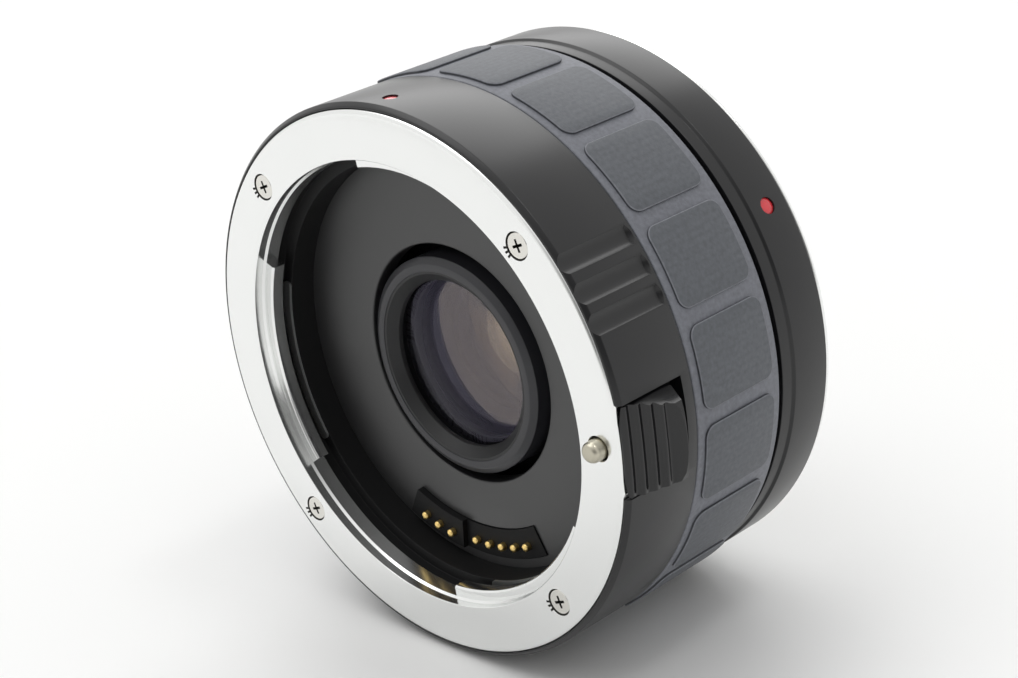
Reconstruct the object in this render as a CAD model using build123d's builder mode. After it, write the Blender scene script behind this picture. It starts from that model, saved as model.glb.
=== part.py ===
"""Camera teleconverter, modelled piece by piece.

Frame: the origin is the centre of the camera side seat, +Y points to the camera along the
optical axis, -Y to the lens, and +Z points up to the lens index dot. Angles are counted
anticlockwise as seen from the lens side, with 0 at +X and 90 at +Z. Millimetres.
"""

import math
import os

from build123d import *

os.makedirs("parts", exist_ok=True)

# Driving dimensions
flange_to_flange = 34.4
throat_radius = 26.9
lens_ring_width = 5.75
cell_share = 0.495
slide_clearance = 0.08
seat_clearance = 0.05
overrun = 1.0
lens_face = -flange_to_flange
lens_ring_radius = throat_radius + lens_ring_width
cell_radius = throat_radius * cell_share

# Lens side bayonet ring
lens_ring_thickness = 2.4
lens_ring_bevel = 0.25
ring_skirt_wall = 1.1
throat_wall_length = 1.1
throat_chamfer_length = 0.4
throat_chamfer_width = 0.15
tab_reach = 1.4
tab_thickness = 1.7
tab_edge_bevel = 0.2
tab_start_angles = (37.2, 157.4, 273.9)
tab_span_angles = (63.9, 57.8, 59.5)
ring_skirt_radius = throat_radius + ring_skirt_wall
throat_seat_radius = throat_radius - throat_chamfer_width
tab_radius = throat_radius - tab_reach
lens_ring_back = lens_face + lens_ring_thickness
tab_front = lens_face + throat_wall_length + throat_chamfer_length
tab_back = tab_front + tab_thickness

# Fasteners
screw_count = 4
first_screw_angle = 45.0
screw_inset = 2.65
head_radius = 1.6
shank_radius = 0.8
countersink_gap = 0.12
countersink_angle = 90.0
lens_screw_length = 7.0
camera_screw_length = 12.5
screw_circle_radius = throat_radius + screw_inset
head_height = head_radius - shank_radius

# Throat liner, its spring strips and the baffle
liner_ledge_depth = 4.6
liner_lip_height = 1.1
liner_lip_thickness = 1.4
baffle_depth = 8.0
baffle_thickness = 0.6
baffle_edge_fillet = 0.3
baffle_collar_length = 1.6
leaf_thickness = 0.3
leaf_width = 1.25
leaf_lead_angle = 7.6
leaf_span_angle = 46.0
leaf_end_fillet = 0.5
liner_slot_radius = throat_radius + seat_clearance
liner_radius = ring_skirt_radius + seat_clearance
liner_inner_radius = tab_radius
liner_lip_radius = liner_inner_radius - liner_lip_height
liner_front = tab_back
liner_ledge = lens_face + liner_ledge_depth
baffle_front = lens_face + baffle_depth
baffle_back = baffle_front + baffle_thickness
baffle_collar_back = baffle_back + baffle_collar_length
liner_back = baffle_back + liner_lip_thickness

# Contact block, sprung pins and board
contact_inset = 1.7
contact_pitch_angle = 5.6
raised_first_angle = -110.9
raised_count = 3
level_first_angle = -90.7
level_count = 5
block_reach = 2.2
block_start_angle = -117.5
block_step_angle = -95.4
block_end_angle = -62.0
block_base_margin_angle = 1.6
block_base_inset = 0.6
block_proud = 0.2
raised_height = 0.7
block_depth = 5.2
pin_stem_radius = 0.5
pin_collar_step = 0.3
pin_collar_thickness = 0.5
pin_proud = 0.8
pin_tip_fillet = 0.42
pin_travel = 0.8
pin_shoulder_depth = 1.2
board_thickness = 0.8
spring_wire_radius = 0.11
spring_turns = 3
contact_circle_radius = liner_lip_radius - contact_inset
block_inner_radius = contact_circle_radius - block_reach
block_outer_radius = liner_lip_radius - 2 * seat_clearance
pin_collar_radius = pin_stem_radius + pin_collar_step
block_front = baffle_front - block_proud
raised_front = block_front - raised_height
block_back = block_front + block_depth
pin_shoulder = block_front + pin_shoulder_depth
board_back = block_back + board_thickness
contact_angles = [raised_first_angle + contact_pitch_angle * step for step in range(raised_count)]
contact_angles += [level_first_angle + contact_pitch_angle * step for step in range(level_count)]

# Barrel and inner frame
barrel_lip_set_back = 0.3
barrel_rim_wall = 0.65
barrel_rim_land = 0.2
barrel_rim_chamfer = 0.5
barrel_band_length = 11.2
grip_base = 1.0
sleeve_wall = 0.75
flute_angles = (36.35, 30.28, 24.4)
flute_width = 2.4
flute_depth = 0.5
flute_end_gap = 0.2
dot_recess_depth = 0.4
dot_thickness = 0.25
front_dot_radius = 0.9
front_dot_depth = 3.44
front_dot_angle = 90.0
frame_ledge_thickness = 1.0
frame_ledge_step = 0.5
frame_wall = 1.8
contact_bay = 2.2
web_thickness = 2.0
board_bay = 2.0
rear_boss_wall = 4.1
barrel_lip_radius = lens_ring_radius + seat_clearance
barrel_radius = barrel_lip_radius + barrel_rim_wall
sleeve_radius = barrel_radius - grip_base
sleeve_inner_radius = sleeve_radius - sleeve_wall
frame_ledge_radius = liner_inner_radius + frame_ledge_step
frame_waist_radius = sleeve_inner_radius - frame_wall
rear_boss_radius = sleeve_inner_radius - rear_boss_wall
barrel_front = lens_face + barrel_lip_set_back
barrel_band_end = lens_face + barrel_band_length
frame_front_end = liner_back
web_front = board_back + contact_bay
web_back = web_front + web_thickness
rear_boss_front = web_back + board_bay

# Rubber grip
rear_length = 8.25
rear_gap = 1.0
pad_height = 0.35
pad_width = 9.3
pad_corner_radius = 1.3
pad_lead = 1.3
pad_tail = 1.4
pad_count = 18
pad_pitch_angle = 19.45
first_pad_angle = -127.75
pad_root = 0.5
rear_front = -rear_length
grip_end = rear_front - rear_gap
grip_length = grip_end - barrel_band_end
pad_length = grip_length - pad_lead - pad_tail

# Rear body and camera side bayonet ring
rear_set_in = 0.05
rear_step = 0.3
rear_band_length = 1.6
rear_edge_chamfer = 0.35
flange_lip_thickness = 0.45
flange_lip_inset = 0.25
flange_edge_bevel = 0.12
camera_ring_thickness = 1.9
pocket_wall = 1.75
rear_dot_radius = 1.0
rear_dot_inset = 3.7
rear_dot_angle = 30.3
bayonet_clearance = 0.3
neck_wall = 1.6
neck_length = 5.6
claw_clearance = 0.4
claw_gap = 3.35
claw_thickness = 1.15
claw_start_angles = (42.6, 157.6, 277.3)
claw_span_angles = (53.8, 55.2, 54.0)
lock_hole_radius = 1.5
rear_radius = barrel_radius - rear_set_in
rear_band_radius = rear_radius - rear_step
flange_lip_radius = rear_radius - flange_lip_inset
pocket_radius = rear_radius - pocket_wall
neck_radius = tab_radius - bayonet_clearance
neck_inner_radius = neck_radius - neck_wall
claw_radius = throat_radius - claw_clearance
rear_end = -flange_lip_thickness
camera_ring_front = -camera_ring_thickness
neck_end = neck_length
claw_front = claw_gap
claw_back = claw_front + claw_thickness

# Rear baffle, contact block and contact pads
rear_floor_height = 0.6
rear_floor_thickness = 1.0
rear_wall_thickness = 1.1
rear_baffle_end_inset = 0.2
rear_pad_reach = 0.5
rear_block_base_thickness = 1.0
pad_contact_length = 1.9
pad_contact_width = 1.3
pad_contact_thickness = 0.4
pad_contact_shift = 0.45
rear_baffle_radius = neck_inner_radius - seat_clearance
rear_floor_front = rear_floor_height
rear_floor_back = rear_floor_front + rear_floor_thickness
rear_baffle_end = neck_end - rear_baffle_end_inset
raised_tip_reach = baffle_depth - block_proud - raised_height - pin_proud
level_tip_reach = baffle_depth - block_proud - pin_proud
rear_raised_face = raised_tip_reach + rear_pad_reach
rear_level_face = level_tip_reach + rear_pad_reach
rear_block_outer = rear_baffle_radius - seat_clearance
rear_block_inner = block_inner_radius

# Lens cell and optics
cell_groove = 1.3
cell_proud = 0.95
cell_chamfer_length = 0.5
cell_chamfer_width = 0.8
cell_front_wall = 1.7
cell_step = 0.9
cell_rear_wall = 1.8
cell_stop_lip = 0.7
cell_stop_thickness = 1.0
cell_flange_width = 4.2
cell_flange_thickness = 1.6
cell_end_gap = 0.05
cell_screw_count = 3
cell_screw_end_gap = 0.2
retainer_set_in = 0.1
retainer_wall = 1.4
retainer_cone_depth = 1.05
retainer_land = 0.25
front_glass_inset = 1.7
front_glass_edge = 3.6
glass_rim = 1.4
glass_gap = 0.05
second_glass_edge = 3.8
third_glass_edge = 3.0
fourth_glass_edge = 3.6
near_spacer_length = 1.4
rear_glass_inset = 0.8
spacer_wall = 0.95
rear_retainer_length = 1.2
front_bulge = 1.0
front_back_hollow = 0.5
second_front_hollow = 0.9
second_back_hollow = 1.2
third_front_bulge = 1.3
third_back_bulge = 1.6
fourth_front_hollow = 0.8
fourth_back_bulge = 0.6
baffle_hole_radius = cell_radius + cell_groove
cell_front_bore = cell_radius - cell_front_wall
cell_rear_radius = cell_radius - cell_step
cell_rear_bore = cell_rear_radius - cell_rear_wall
cell_stop_radius = cell_rear_bore - cell_stop_lip
cell_flange_radius = cell_radius + cell_flange_width
cell_screw_circle = cell_radius + cell_flange_width / 2
cell_front = baffle_front - cell_proud
cell_flange_back = web_back + cell_flange_thickness
cell_screw_length = cell_flange_thickness + web_thickness - cell_screw_end_gap
cell_end = rear_floor_back - cell_end_gap
retainer_hole_radius = cell_front_bore - retainer_wall
retainer_front = cell_front + retainer_set_in
glass_1_front = cell_front + front_glass_inset
glass_1_back = glass_1_front + front_glass_edge
glass_2_front = glass_1_back + cell_stop_thickness
glass_2_back = glass_2_front + second_glass_edge
glass_3_front = glass_2_back + near_spacer_length
glass_3_back = glass_3_front + third_glass_edge
glass_4_back = -rear_glass_inset
glass_4_front = glass_4_back - fourth_glass_edge

# Release lever, slider, lock pin and return spring
lever_half_width = 5.15
lever_side_draft = 1.2
lever_gap = 0.2
lever_lip = 0.25
lever_lip_thickness = 0.2
lever_ridge_height = 2.45
lever_ridge_depth = 4.8
lever_crest_height = 3.15
lever_crest_depth = 6.25
lever_back_depth = 7.75
lever_groove_count = 4
lever_groove_radius = 0.62
lever_groove_bite = 0.38
lever_first_groove_share = 0.235
lever_groove_pitch_share = 0.245
slot_end_gap = 0.15
lock_travel = 1.9
slider_gap = 0.1
slider_half_width = 4.0
slider_length = 6.5
lock_pin_radius = 1.25
lock_pin_gap = 0.2
lock_pin_proud = 1.6
lock_pin_length = 7.6
lock_pin_bevel = 0.35
lock_coil_radius = 0.9
lock_coil_wire = 0.2
lock_coil_turns = 5
lock_coil_offset = 0.3
spring_boss_half_width = 2.0
spring_boss_height = 2.6
spring_boss_length = 2.0
lever_screw_offset = 2.6
lever_head_radius = 1.1
lever_shank_radius = 0.6
lever_screw_length = 5.4
lever_screw_depth = 6.2
lever_top_half_width = lever_half_width - lever_side_draft
lever_foot = lens_ring_back + slider_gap
lever_base_radius = sleeve_inner_radius + slider_gap
lever_back = lens_face + lever_back_depth
slot_end = lever_back + lock_travel + slot_end_gap
slider_base_radius = liner_radius + slider_gap
slider_front = lens_ring_back + slider_gap
slider_back = slider_front + slider_length
slider_top = math.sqrt(sleeve_inner_radius**2 - slider_half_width**2) - slide_clearance
lock_pin_hole_radius = lock_pin_radius + lock_pin_gap
spring_stop = web_front - spring_boss_length

# Circuit board and flexible cable
main_board_thickness = 1.0
main_board_gap = 1.0
board_edge_gap = 0.2
cable_inset = 0.7
cable_thickness = 0.25
cable_start_angle = -99.0
cable_span_angle = 22.0
cable_slot_gap = 0.4
cable_margin_angle = 1.0
main_board_inner = cell_flange_radius + main_board_gap
cable_radius = contact_circle_radius - cable_inset


lens_axis = Axis((0, 0, 0), (0, -1, 0))


def radial(angle, radius):
    """X and Z of a point at this angle and radius about the optical axis."""
    turn = math.radians(angle)
    return radius * math.cos(turn), radius * math.sin(turn)


def half_plane(angle):
    """Plane through the optical axis: x runs along +Y, y runs outward at the angle."""
    across, up = radial(angle, 1)
    return Plane(origin=(0, 0, 0), x_dir=(0, 1, 0), z_dir=(up, 0, -across))


def tangent_plane(angle, radius, place):
    """Plane that touches a cylinder about the optical axis, facing outward, x along +Y."""
    across, up = radial(angle, radius)
    unit_across, unit_up = radial(angle, 1)
    return Plane(origin=(across, place, up), x_dir=(0, 1, 0), z_dir=(unit_across, 0, unit_up))


def side_axis(angle, radius):
    """Line along +Y at this angle and radius."""
    across, up = radial(angle, radius)
    return Axis((across, 0, up), (0, 1, 0))


def half_section(*outline, angle=90.0):
    """Face in a half plane from points given as (place along Y, radius)."""
    with BuildSketch(half_plane(angle)) as section:
        with BuildLine():
            Polyline(*outline, close=True)
        make_face()
    return section.sketch


def ring_section(front, back, inner, outer, angle=90.0):
    """Rectangular half section of a ring between two places along Y and two radii."""
    return half_section((front, inner), (front, outer), (back, outer), (back, inner), angle=angle)


def lens_section(front, back, rim, clear, front_bulge, back_bulge):
    """Half section of a lens with flat rims and two spherical faces."""
    with BuildSketch(half_plane(90.0)) as section:
        with BuildLine():
            TangentArc((front - front_bulge, 0), (front, clear), tangent=(0, 1))
            Polyline((front, clear), (front, rim), (back, rim), (back, clear))
            TangentArc((back + back_bulge, 0), (back, clear), tangent=(0, 1))
            Line((back + back_bulge, 0), (front - front_bulge, 0))
        make_face()
    return section.sketch


def face_plane(place):
    """Plane square to the optical axis that faces the lens side."""
    return Plane.XZ.offset(-place)


def rear_plane(place):
    """Plane square to the optical axis that faces the camera side."""
    return Plane(origin=(0, place, 0), x_dir=(-1, 0, 0), z_dir=(0, 1, 0))


def coil(front, back, centre_angle, centre_radius, coil_radius, wire, turns, sides):
    """Wire path and section of a compression spring that lies along Y."""
    across, up = radial(centre_angle, centre_radius)
    rise = back - front - 2 * wire
    start = (across, front + wire, up)
    path = Helix(rise / turns, rise, coil_radius, center=start, direction=(0, 1, 0))
    with BuildSketch(Plane(origin=path @ 0, z_dir=path % 0)) as section:
        RegularPolygon(wire, sides)
    return path, section.sketch


def save(piece, name):
    """Label the piece and write it as its own file."""
    piece.part.label = name
    export_step(piece.part, f"parts/{name}.step")


# Lens side bayonet ring: chromed brass, three inner tabs, four countersunk screws
with BuildPart() as lens_mount_ring:
    revolve(
        half_section(
            (lens_face, throat_radius),
            (lens_face, lens_ring_radius - lens_ring_bevel),
            (lens_face + lens_ring_bevel, lens_ring_radius),
            (lens_ring_back, lens_ring_radius),
            (lens_ring_back, ring_skirt_radius),
            (tab_back, ring_skirt_radius),
            (tab_back, throat_seat_radius),
            (tab_front, throat_seat_radius),
            (lens_face + throat_wall_length, throat_radius),
        ),
        axis=Axis.Y,
    )
    for start_angle, span_angle in zip(tab_start_angles, tab_span_angles):
        tab = half_section(
            (tab_front, ring_skirt_radius),
            (tab_front, tab_radius + tab_edge_bevel),
            (tab_front + tab_edge_bevel, tab_radius),
            (tab_back, tab_radius),
            (tab_back, ring_skirt_radius),
            angle=start_angle,
        )
        revolve(tab, axis=lens_axis, revolution_arc=span_angle)
    with Locations(face_plane(lens_face)):
        with PolarLocations(screw_circle_radius, screw_count, start_angle=first_screw_angle):
            CounterSinkHole(
                shank_radius + seat_clearance,
                head_radius + countersink_gap,
                depth=lens_ring_thickness,
                counter_sink_angle=countersink_angle,
            )
    with Locations(face_plane(lens_face)):
        with Locations((screw_circle_radius, 0)):
            Hole(lock_pin_hole_radius, depth=lens_ring_thickness)
save(lens_mount_ring, "lens_mount_ring")

# Four countersunk screws that clamp the lens ring to the inner frame
with BuildPart() as lens_mount_screws:
    with Locations(face_plane(lens_face)):
        with PolarLocations(screw_circle_radius, screw_count, start_angle=first_screw_angle):
            Cone(
                shank_radius,
                head_radius,
                head_height,
                align=(Align.CENTER, Align.CENTER, Align.MAX),
            )
            Cylinder(
                shank_radius,
                lens_screw_length,
                align=(Align.CENTER, Align.CENTER, Align.MAX),
            )
save(lens_mount_screws, "lens_mount_screws")

# Throat liner: black moulding behind the ring, with the slot that the lens tabs turn in
with BuildPart() as throat_liner:
    revolve(
        half_section(
            (liner_front, liner_slot_radius),
            (liner_front, liner_radius),
            (liner_back, liner_radius),
            (liner_back, liner_lip_radius),
            (baffle_back, liner_lip_radius),
            (baffle_back, liner_inner_radius),
            (liner_ledge, liner_inner_radius),
            (liner_ledge, liner_slot_radius),
        ),
        axis=Axis.Y,
    )
save(throat_liner, "throat_liner")

# Three spring strips on the liner's ledge, which press the lens tabs forward
for strip_number, start_angle in enumerate(tab_start_angles, start=1):
    leaf_inner = liner_inner_radius + seat_clearance
    with BuildPart() as leaf_spring:
        strip = ring_section(
            liner_ledge - leaf_thickness,
            liner_ledge,
            leaf_inner,
            leaf_inner + leaf_width,
            angle=start_angle + leaf_lead_angle,
        )
        revolve(strip, axis=lens_axis, revolution_arc=leaf_span_angle)
        fillet(leaf_spring.edges().filter_by(Axis.Y), radius=leaf_end_fillet)
    save(leaf_spring, f"mount_leaf_spring_{strip_number}")

# Baffle: flat black plate round the front of the lens cell, turned back at its hole into a
# short collar, with a window for the contacts
with BuildPart() as front_baffle:
    revolve(
        ring_section(
            baffle_front,
            baffle_back,
            baffle_hole_radius,
            liner_inner_radius - seat_clearance,
        ),
        axis=Axis.Y,
    )
    revolve(
        ring_section(
            baffle_back,
            baffle_collar_back,
            baffle_hole_radius,
            baffle_hole_radius + baffle_thickness,
        ),
        axis=Axis.Y,
    )
    rim_edge = front_baffle.edges().filter_by(GeomType.CIRCLE).group_by(SortBy.RADIUS)[0]
    fillet(rim_edge.sort_by(Axis.Y)[0], radius=baffle_edge_fillet)
    window = ring_section(
        baffle_front - overrun,
        baffle_back + overrun,
        block_inner_radius - seat_clearance,
        block_outer_radius + seat_clearance,
        angle=block_start_angle,
    )
    revolve(
        window,
        axis=lens_axis,
        revolution_arc=block_end_angle - block_start_angle,
        mode=Mode.SUBTRACT,
    )
save(front_baffle, "front_baffle")

# Contact block: black moulding with a raised step, guides for eight pins and spring wells
with BuildPart() as front_contact_block:
    level_face = ring_section(
        block_front,
        block_back,
        block_inner_radius,
        block_outer_radius,
        angle=block_start_angle,
    )
    revolve(level_face, axis=lens_axis, revolution_arc=block_end_angle - block_start_angle)
    raised_face = ring_section(
        raised_front,
        block_front,
        block_inner_radius,
        block_outer_radius,
        angle=block_start_angle,
    )
    revolve(raised_face, axis=lens_axis, revolution_arc=block_step_angle - block_start_angle)
    base = ring_section(
        baffle_back,
        block_back,
        block_inner_radius - block_base_inset,
        block_outer_radius,
        angle=block_start_angle - block_base_margin_angle,
    )
    base_span_angle = block_end_angle - block_start_angle + 2 * block_base_margin_angle
    revolve(base, axis=lens_axis, revolution_arc=base_span_angle)
    for pin_angle in contact_angles:
        guide = half_section(
            (raised_front - overrun, contact_circle_radius),
            (raised_front - overrun, contact_circle_radius + pin_stem_radius + seat_clearance),
            (pin_shoulder, contact_circle_radius + pin_stem_radius + seat_clearance),
            (pin_shoulder, contact_circle_radius + pin_collar_radius + seat_clearance),
            (block_back + overrun, contact_circle_radius + pin_collar_radius + seat_clearance),
            (block_back + overrun, contact_circle_radius),
            angle=pin_angle,
        )
        revolve(guide, axis=side_axis(pin_angle, contact_circle_radius), mode=Mode.SUBTRACT)
save(front_contact_block, "front_contact_block")

# Eight gilt contact pins with domed tips, each on its own coil spring
for pin_number, pin_angle in enumerate(contact_angles, start=1):
    seat = raised_front if pin_number <= raised_count else block_front
    tip = seat - pin_proud
    collar_back = pin_shoulder + pin_collar_thickness
    with BuildPart() as contact_pin:
        pin_outline = half_section(
            (tip, contact_circle_radius),
            (tip, contact_circle_radius + pin_stem_radius),
            (pin_shoulder, contact_circle_radius + pin_stem_radius),
            (pin_shoulder, contact_circle_radius + pin_collar_radius),
            (collar_back, contact_circle_radius + pin_collar_radius),
            (collar_back, contact_circle_radius),
            angle=pin_angle,
        )
        revolve(pin_outline, axis=side_axis(pin_angle, contact_circle_radius))
        fillet(contact_pin.edges().group_by(Axis.Y)[0], radius=pin_tip_fillet)
    save(contact_pin, f"contact_pin_{pin_number}")

    coil_radius = pin_collar_radius - spring_wire_radius
    path, wire_section = coil(
        collar_back,
        block_back,
        pin_angle,
        contact_circle_radius,
        coil_radius - seat_clearance,
        spring_wire_radius,
        spring_turns,
        sides=4,
    )
    with BuildPart() as contact_spring:
        sweep(wire_section, path=path, is_frenet=True)
    save(contact_spring, f"contact_spring_{pin_number}")

# Contact board: carries the springs and closes the block from behind
with BuildPart() as front_contact_board:
    board = ring_section(
        block_back,
        board_back,
        block_inner_radius - block_base_inset,
        block_outer_radius,
        angle=block_start_angle - block_base_margin_angle,
    )
    revolve(board, axis=lens_axis, revolution_arc=base_span_angle)
save(front_contact_board, "front_contact_board")

# Barrel: black shell with a rim round the ring, a plain band, and a sleeve under the grip
flute_radius = (flute_width**2 / 4 + flute_depth**2) / (2 * flute_depth)
with BuildPart() as front_barrel:
    revolve(
        half_section(
            (barrel_front, barrel_lip_radius),
            (barrel_front, barrel_lip_radius + barrel_rim_land),
            (barrel_front + barrel_rim_chamfer, barrel_radius),
            (barrel_band_end, barrel_radius),
            (barrel_band_end, sleeve_radius),
            (rear_front, sleeve_radius),
            (rear_front, sleeve_inner_radius),
            (lens_ring_back, sleeve_inner_radius),
            (lens_ring_back, barrel_lip_radius),
        ),
        axis=Axis.Y,
    )
    with BuildSketch(face_plane(barrel_band_end - flute_end_gap)) as flutes:
        for flute_angle in flute_angles:
            with Locations(radial(flute_angle, barrel_radius - flute_depth + flute_radius)):
                Circle(flute_radius)
    extrude(amount=barrel_band_length, mode=Mode.SUBTRACT)
    with BuildSketch(face_plane(slot_end)) as lever_slot:
        with Locations((barrel_radius, 0)):
            Rectangle(2 * (barrel_radius - slider_base_radius), 2 * (lever_half_width + lever_gap))
    extrude(amount=slot_end - lens_face + overrun, mode=Mode.SUBTRACT)
    front_dot_place = lens_face + front_dot_depth
    with BuildSketch(tangent_plane(front_dot_angle, barrel_radius, front_dot_place)) as dot_recess:
        Circle(front_dot_radius)
    extrude(amount=-dot_recess_depth, mode=Mode.SUBTRACT)
    extrude(dot_recess.sketch, amount=overrun, mode=Mode.SUBTRACT)
save(front_barrel, "front_barrel")

# Red index dots, each a painted disc at the bottom of its recess
with BuildPart() as front_index_dot:
    dot_floor = tangent_plane(front_dot_angle, barrel_radius - dot_recess_depth, front_dot_place)
    with BuildSketch(dot_floor):
        Circle(front_dot_radius)
    extrude(amount=dot_thickness)
save(front_index_dot, "front_index_dot")

rear_dot_place = -rear_dot_inset
with BuildPart() as rear_index_dot:
    dot_floor = tangent_plane(rear_dot_angle, rear_radius - dot_recess_depth, rear_dot_place)
    with BuildSketch(dot_floor):
        Circle(rear_dot_radius)
    extrude(amount=dot_thickness)
save(rear_index_dot, "rear_index_dot")

# Inner frame: cast ring that carries both bayonets, with a web for the lens cell
with BuildPart() as inner_frame:
    revolve(
        half_section(
            (lens_ring_back, liner_radius + seat_clearance),
            (lens_ring_back, sleeve_inner_radius),
            (rear_front, sleeve_inner_radius),
            (rear_front, rear_boss_radius),
            (rear_boss_front, rear_boss_radius),
            (rear_boss_front, frame_waist_radius),
            (web_back, frame_waist_radius),
            (web_back, cell_radius + seat_clearance),
            (web_front, cell_radius + seat_clearance),
            (web_front, frame_waist_radius),
            (frame_front_end + frame_ledge_thickness, frame_waist_radius),
            (frame_front_end + frame_ledge_thickness, frame_ledge_radius),
            (frame_front_end, frame_ledge_radius),
            (frame_front_end, liner_radius + seat_clearance),
        ),
        axis=Axis.Y,
    )
    pocket_half_width = slider_half_width + slide_clearance
    pocket_height = sleeve_inner_radius - frame_ledge_radius + 2 * overrun
    with BuildSketch(face_plane(spring_stop)) as slider_pocket:
        with Locations(((frame_ledge_radius + sleeve_inner_radius) / 2, 0)):
            Rectangle(pocket_height, 2 * pocket_half_width)
    extrude(amount=spring_stop - lens_face, mode=Mode.SUBTRACT)
    with BuildSketch(face_plane(web_front)) as spring_boss:
        with Locations((frame_waist_radius, 0)):
            Rectangle(spring_boss_height, 2 * spring_boss_half_width)
    extrude(amount=web_front - spring_stop)
    with Locations(face_plane(lens_ring_back)):
        with PolarLocations(screw_circle_radius, screw_count, start_angle=first_screw_angle):
            Hole(shank_radius, depth=lens_screw_length - lens_ring_thickness + overrun)
    with Locations(rear_plane(rear_front)):
        with PolarLocations(screw_circle_radius, screw_count, start_angle=first_screw_angle):
            Hole(shank_radius, depth=camera_screw_length + rear_front + overrun)
    with Locations(rear_plane(web_back)):
        with PolarLocations(cell_screw_circle, cell_screw_count):
            Hole(shank_radius, depth=web_thickness)
    cable_slot = ring_section(
        web_front - overrun,
        web_back + overrun,
        cable_radius - cable_slot_gap,
        cable_radius + cable_thickness + cable_slot_gap,
        angle=cable_start_angle - cable_margin_angle,
    )
    revolve(
        cable_slot,
        axis=lens_axis,
        revolution_arc=cable_span_angle + 2 * cable_margin_angle,
        mode=Mode.SUBTRACT,
    )
save(inner_frame, "inner_frame")

# Rubber grip: moulded sleeve with raised rounded pads, joined on the side away from the lever
with BuildPart() as rubber_grip:
    for pad_step in range(pad_count):
        pad_angle = first_pad_angle + pad_pitch_angle * pad_step
        pad_middle = barrel_band_end + pad_lead + pad_length / 2
        with BuildSketch(tangent_plane(pad_angle, barrel_radius - pad_root, pad_middle)):
            RectangleRounded(pad_length, pad_width, pad_corner_radius)
        extrude(amount=pad_root + 2 * pad_height)
    pad_skin = ring_section(
        barrel_band_end,
        grip_end,
        barrel_radius - pad_height,
        barrel_radius + pad_height,
    )
    revolve(pad_skin, axis=Axis.Y, mode=Mode.INTERSECT)
    revolve(ring_section(barrel_band_end, grip_end, sleeve_radius, barrel_radius), axis=Axis.Y)
save(rubber_grip, "rubber_grip")

# Rear body: black ring with a shallow sloped step, which seats the camera side bayonet
with BuildPart() as rear_body:
    revolve(
        half_section(
            (rear_front, rear_boss_radius),
            (rear_front, rear_band_radius),
            (rear_front + rear_band_length, rear_band_radius),
            (rear_front + rear_band_length + rear_step, rear_radius),
            (rear_end - rear_edge_chamfer, rear_radius),
            (rear_end, rear_radius - rear_edge_chamfer),
            (rear_end, pocket_radius),
            (camera_ring_front, pocket_radius),
            (camera_ring_front, rear_boss_radius),
        ),
        axis=Axis.Y,
    )
    with BuildSketch(tangent_plane(rear_dot_angle, rear_radius, rear_dot_place)) as dot_recess:
        Circle(rear_dot_radius)
    extrude(amount=-dot_recess_depth, mode=Mode.SUBTRACT)
    extrude(dot_recess.sketch, amount=overrun, mode=Mode.SUBTRACT)
    with Locations(rear_plane(camera_ring_front)):
        with PolarLocations(screw_circle_radius, screw_count, start_angle=first_screw_angle):
            Hole(shank_radius + seat_clearance, depth=camera_ring_front - rear_front)
save(rear_body, "rear_body")

# Camera side bayonet ring: chromed flange with a neck and three outer tabs
with BuildPart() as camera_mount_ring:
    revolve(
        half_section(
            (camera_ring_front, neck_inner_radius),
            (camera_ring_front, pocket_radius - seat_clearance),
            (rear_end, pocket_radius - seat_clearance),
            (rear_end, flange_lip_radius - flange_edge_bevel),
            (rear_end + flange_edge_bevel, flange_lip_radius),
            (-flange_edge_bevel, flange_lip_radius),
            (0, flange_lip_radius - flange_edge_bevel),
            (0, neck_radius),
            (neck_end, neck_radius),
            (neck_end, neck_inner_radius),
        ),
        axis=Axis.Y,
    )
    for start_angle, span_angle in zip(claw_start_angles, claw_span_angles):
        tab = ring_section(
            claw_front,
            claw_back,
            neck_inner_radius,
            claw_radius,
            angle=start_angle,
        )
        revolve(tab, axis=lens_axis, revolution_arc=span_angle)
    with Locations(rear_plane(0)):
        with PolarLocations(screw_circle_radius, screw_count, start_angle=first_screw_angle):
            CounterSinkHole(
                shank_radius + seat_clearance,
                head_radius + countersink_gap,
                depth=camera_ring_thickness,
                counter_sink_angle=countersink_angle,
            )
    with Locations(rear_plane(0)):
        with Locations((-screw_circle_radius, 0)):
            Hole(lock_hole_radius, depth=camera_ring_thickness)
save(camera_mount_ring, "camera_mount_ring")

# Four long screws that clamp the camera ring and the rear body to the inner frame
with BuildPart() as camera_mount_screws:
    with Locations(rear_plane(0)):
        with PolarLocations(screw_circle_radius, screw_count, start_angle=first_screw_angle):
            Cone(
                shank_radius,
                head_radius,
                head_height,
                align=(Align.CENTER, Align.CENTER, Align.MAX),
            )
            Cylinder(
                shank_radius,
                camera_screw_length,
                align=(Align.CENTER, Align.CENTER, Align.MAX),
            )
save(camera_mount_screws, "camera_mount_screws")

# Rear baffle: black cup inside the neck, open round the lens cell and the contacts
with BuildPart() as rear_baffle:
    revolve(
        half_section(
            (rear_floor_front, cell_rear_radius + seat_clearance),
            (rear_floor_front, rear_baffle_radius),
            (rear_baffle_end, rear_baffle_radius),
            (rear_baffle_end, rear_baffle_radius - rear_wall_thickness),
            (rear_floor_back, rear_baffle_radius - rear_wall_thickness),
            (rear_floor_back, cell_rear_radius + seat_clearance),
        ),
        axis=Axis.Y,
    )
    window = ring_section(
        rear_floor_front - overrun,
        rear_baffle_end + overrun,
        rear_block_inner - seat_clearance,
        rear_baffle_radius + overrun,
        angle=block_start_angle,
    )
    revolve(
        window,
        axis=lens_axis,
        revolution_arc=block_end_angle - block_start_angle,
        mode=Mode.SUBTRACT,
    )
save(rear_baffle, "rear_baffle")

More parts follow.
